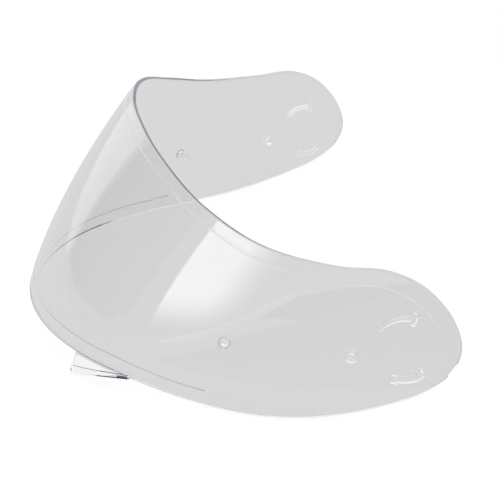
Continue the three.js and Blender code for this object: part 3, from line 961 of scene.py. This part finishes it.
def pale_ground(name, size, height, glow, lit_share, albedo):
    """A ground that lights the object by its albedo, and shows its glow with the object's shadow."""
    bpy.ops.mesh.primitive_plane_add(size=size, location=(0, 0, height))
    ground = bpy.context.object
    ground.name = name
    made, nodes, links = new_material(name)
    lit = nodes.new("ShaderNodeBsdfDiffuse")
    lit.inputs["Color"].default_value = (albedo, albedo, albedo, 1)
    shown = nodes.new("ShaderNodeBsdfDiffuse")
    shown.inputs["Color"].default_value = (lit_share, lit_share, lit_share, 1)
    white = nodes.new("ShaderNodeEmission")
    white.inputs["Strength"].default_value = glow
    both = nodes.new("ShaderNodeAddShader")
    links.new(shown.outputs["BSDF"], both.inputs[0])
    links.new(white.outputs["Emission"], both.inputs[1])
    show_mix(nodes, links, seen_share(nodes, links), lit.outputs["BSDF"], both.outputs["Shader"])
    give(ground, made)
    return ground


def facing(centre, target):
    """The turn of a card or lamp that faces the target."""
    return (Vector(target) - Vector(centre)).to_track_quat("-Z", "Y")


def glowing(name, size, glow):
    """A card's material. Its glow fades where the product of the shares along x and y falls."""
    made, nodes, links = new_material(name)
    output = nodes.new("ShaderNodeOutputMaterial")
    emission = nodes.new("ShaderNodeEmission")
    place = nodes.new("ShaderNodeTexCoord")
    across = nodes.new("ShaderNodeSeparateXYZ")
    links.new(place.outputs["Object"], across.inputs["Vector"])
    shares = nodes.new("ShaderNodeMath")
    shares.operation = "MULTIPLY"
    fades = (("X", size[0], glow["x_fade"], (1, 0)), ("Y", size[1], glow["y_fade"], (0, 1)))
    for k, (axis, length, span, ends) in enumerate(fades):
        ramp = nodes.new("ShaderNodeMapRange")
        ramp.interpolation_type = "SMOOTHSTEP"
        ramp.inputs["From Min"].default_value = (span[0] - 0.5) * length
        ramp.inputs["From Max"].default_value = (span[1] - 0.5) * length
        ramp.inputs["To Min"].default_value = ends[0]
        ramp.inputs["To Max"].default_value = ends[1]
        links.new(across.outputs[axis], ramp.inputs["Value"])
        links.new(ramp.outputs["Result"], shares.inputs[k])
    level = nodes.new("ShaderNodeMapRange")
    level.inputs["To Min"].default_value = glow["faded"]
    level.inputs["To Max"].default_value = glow["full"]
    links.new(shares.outputs["Value"], level.inputs["Value"])
    links.new(level.outputs["Result"], emission.inputs["Strength"])
    links.new(emission.outputs["Emission"], output.inputs["Surface"])
    return made


def card(name, centre, target, size, glow, rounding=CARD_ROUNDING, roll_deg=0.0, through=True):
    """A glowing card with rounded corners that faces the target. Only the visor shows it, off its
    faces and, if wished, through them."""
    half_w, half_h = size[0] / 2 - rounding, size[1] / 2 - rounding
    corners = ((half_w, half_h), (-half_w, half_h), (-half_w, -half_h), (half_w, -half_h))
    outline = []
    for k, corner in enumerate(corners):
        outline += arc_points(corner, rounding, 90 * k, 90 * k + 90, CARD_CORNER_STEPS)
    mesh = bpy.data.meshes.new(name)
    mesh.from_pydata([(x, y, 0) for x, y in outline], [], [list(range(len(outline)))])
    made = add_object(name, mesh)
    turn = facing(centre, target).to_matrix().to_4x4()
    roll = Matrix.Rotation(math.radians(roll_deg), 4, "Z")
    made.matrix_world = Matrix.Translation(centre) @ turn @ roll
    give(made, glowing(name, size, glow))
    only_seen_by_plastic(made)
    made.visible_transmission = through


def floor_card(name, centre, size, glow, roll_deg=0.0):
    """A card that lies on the floor and is seen in the visor's faces but not through them."""
    place = Vector((*centre, FLOOR_CARD_HEIGHT))
    card(name, place, place + Vector((0, 0, 1)), size, glow, roll_deg=roll_deg, through=False)


def only_seen_by_plastic(made):
    """Shows a staged thing only off the visor and through it, and drops its shadow."""
    made.visible_camera = False
    made.visible_diffuse = False
    made.visible_shadow = False


def softbox(name, centre, target, width, height, radiance):
    """A rectangular lamp that faces the target. Its power follows from its size and brightness."""
    lamp = bpy.data.lights.new(name, "AREA")
    lamp.shape = "RECTANGLE"
    lamp.size, lamp.size_y = width, height
    lamp.energy = radiance * math.pi * width * height
    made = add_object(name, lamp)
    made.matrix_world = Matrix.LocRotScale(Vector(centre), facing(centre, target), None)
    made.visible_camera = False
    made.visible_glossy = False
    made.visible_transmission = False


def toward(azimuth_deg, elevation_deg, distance, origin=(0, 0, 0)):
    """A point at a distance from the origin, at azimuth 0 in front of the visor and 90 at its left."""
    a, e = math.radians(azimuth_deg), math.radians(elevation_deg)
    step = Vector((math.sin(a) * math.cos(e), -math.cos(a) * math.cos(e), math.sin(e)))
    return Vector(origin) + step * distance


def photo_camera():
    back = toward(VIEW_AZIMUTH_DEG, VIEW_ELEVATION_DEG, 1)
    right = (-back).cross(Vector((0, 0, 1))).normalized()
    up = right.cross(-back)
    roll = math.radians(VIEW_ROLL_DEG)
    tilted = right * math.cos(roll) + up * math.sin(roll)
    basis = Matrix((tilted, back.cross(tilted), back)).transposed().to_4x4()
    data = bpy.data.cameras.new("camera")
    data.lens = VIEW_LENS_MM
    data.sensor_width = VIEW_SENSOR_MM
    data.clip_start, data.clip_end = VIEW_CLIP
    camera = add_object("camera", data)
    camera.matrix_world = Matrix.Translation(Vector(VIEW_TARGET) + back * VIEW_DISTANCE) @ basis
    bpy.context.scene.camera = camera


# The scene is put together
bpy.context.scene.view_settings.view_transform = "Standard"
photo_camera()

visor = shell(shell_materials())
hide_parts("visor_shell")
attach(visor, "visor")

AT_PIN = wall_frame(PIN_REACH, PIN_LEVEL)
PIN_PLASTIC = clear_plastic("pin_plastic", PIN_COLOUR, PIN_GRAIN, ior=PIN_IOR)
SILICONE = soft_silicone("clear_silicone")
PIN_PIECES = [
    ("pin_body", "insert_pin", pin_body, PIN_PLASTIC, "clear_pin", None),
    ("pin_cap", "slotted_cap", pin_cap, PIN_PLASTIC, "clear_pin", None),
    ("pin_seal", "seal_ring", pin_seal, SILICONE, "seal", "visor"),
]
for node, name, build, material, slot, body in PIN_PIECES:
    left = build(f"left_{name}", AT_PIN)
    right = shade(mirrored(left, f"right_{name}"))
    for side, piece in (("left", left), ("right", right)):
        give(piece, material)
        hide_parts(f"{side}_{node}")
        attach(piece, body or f"{side}_pin")

white_world(WORLD_LEVEL)
pale_ground("floor", **FLOOR)
only_seen_by_plastic(pale_ground("grey_sheet", **GREY_SHEET))
card(
    "window",
    centre=toward(azimuth_deg=31, elevation_deg=13.9, distance=0.6, origin=LEFT_CHEEK),
    target=LEFT_CHEEK,
    size=(0.38, 0.4),
    glow=WINDOW_GLOW,
    roll_deg=-9,
)
card(
    "dark_panel",
    centre=toward(azimuth_deg=-18.5, elevation_deg=21.2, distance=0.6, origin=FRONT_LEFT),
    target=FRONT_LEFT,
    size=(0.57, 0.47),
    glow=PANEL_GLOW,
    rounding=0.05,
)
card(
    "grey_wall",
    centre=toward(azimuth_deg=15, elevation_deg=20, distance=1.3, origin=FRONT),
    target=FRONT,
    size=(4.4, 1.5),
    glow=plain_glow(0.62),
    rounding=0.1,
)
card(
    "white_paper",
    centre=PAPER_PLACE,
    target=(*PAPER_PLACE[:2], 1),
    size=(0.036, 0.016),
    glow=plain_glow(1),
    rounding=0.002,
    roll_deg=-35,
)
floor_card("lit_floor", centre=(0.42, -0.4), size=(0.34, 0.4), glow=FLOOR_GLOW, roll_deg=180)
floor_card("near_floor", centre=(0.215, -0.03), size=(0.15, 0.34), glow=NEAR_GLOW)
floor_card("dark_strip", centre=(0.345, -0.116), size=(0.4, 0.08), glow=plain_glow(0), roll_deg=60)
softbox(
    "front_left_softbox",
    centre=toward(azimuth_deg=33, elevation_deg=35, distance=0.8, origin=LEFT_CHEEK),
    target=LEFT_CHEEK,
    width=0.3,
    height=0.3,
    radiance=1.5,
)
softbox("top_softbox", centre=(0, 0, 0.9), target=(0, 0, 0), width=0.9, height=0.9, radiance=0.6)
